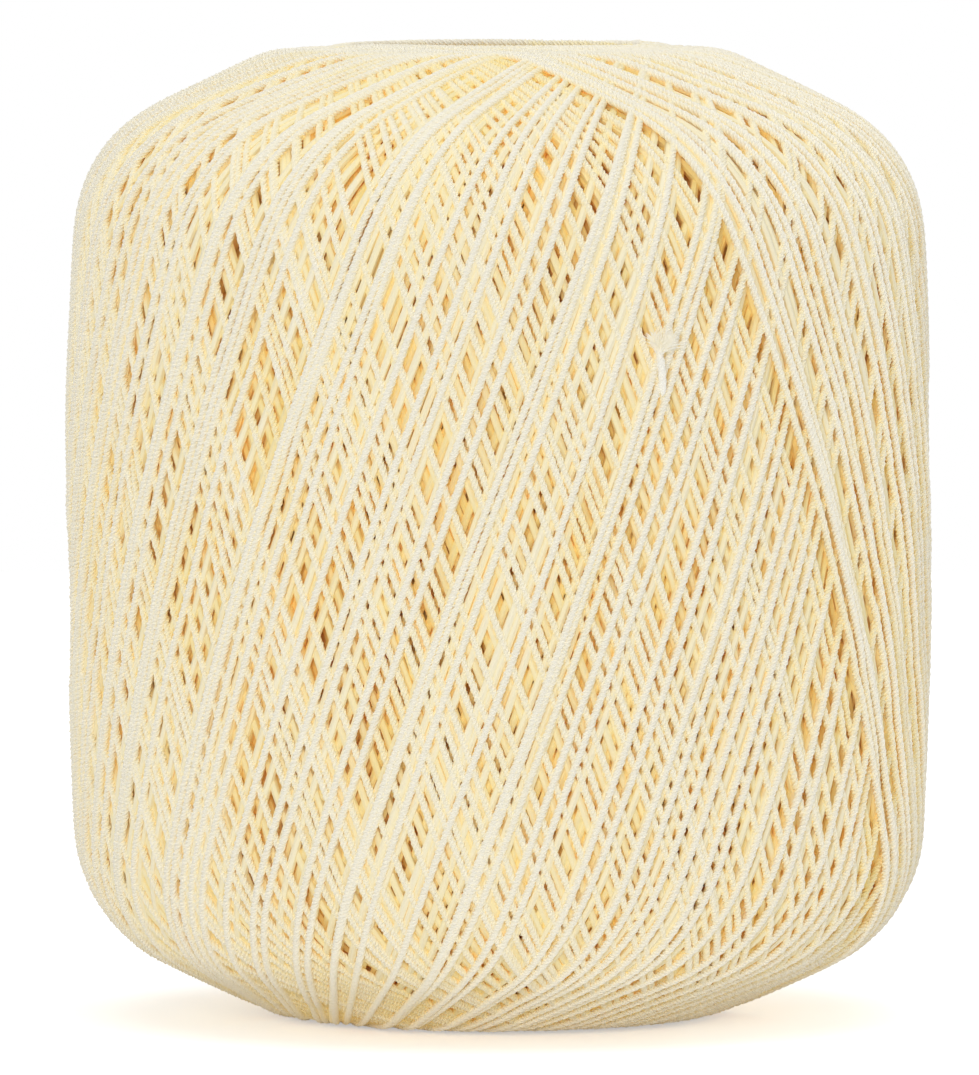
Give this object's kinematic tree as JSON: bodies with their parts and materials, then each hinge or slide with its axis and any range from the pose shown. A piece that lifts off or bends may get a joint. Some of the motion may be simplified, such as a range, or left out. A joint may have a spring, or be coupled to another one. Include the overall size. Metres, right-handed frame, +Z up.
{
  "type": "crochet thread ball",
  "caption": "Barrel-shaped ball of cream crochet thread, cross-wound in an open diamond lattice on a short paper tube with a through bore.",
  "frame": {"origin": "middle of the base ring that the ball stands on", "axes": "+Z up along the paper tube's axis; the ball stands on one of its two ends; -Y faces the viewer"},
  "size_m": [0.064, 0.064, 0.072],
  "materials": {
    "thread": "mercerised cotton, soft sheen",
    "thread_end": "frayed cotton fibre, matte",
    "paper_inner": "matte grey-brown board",
    "paper_outer": "matte grey-brown board"
  },
  "bodies": {
    "root": {"core_inner_ply": "paper_inner", "core_outer_ply": "paper_outer", "winding_base": "thread", "winding_body": "thread", "winding_outer": "thread", "thread_end": "thread_end"}
  },
  "joints": []
}
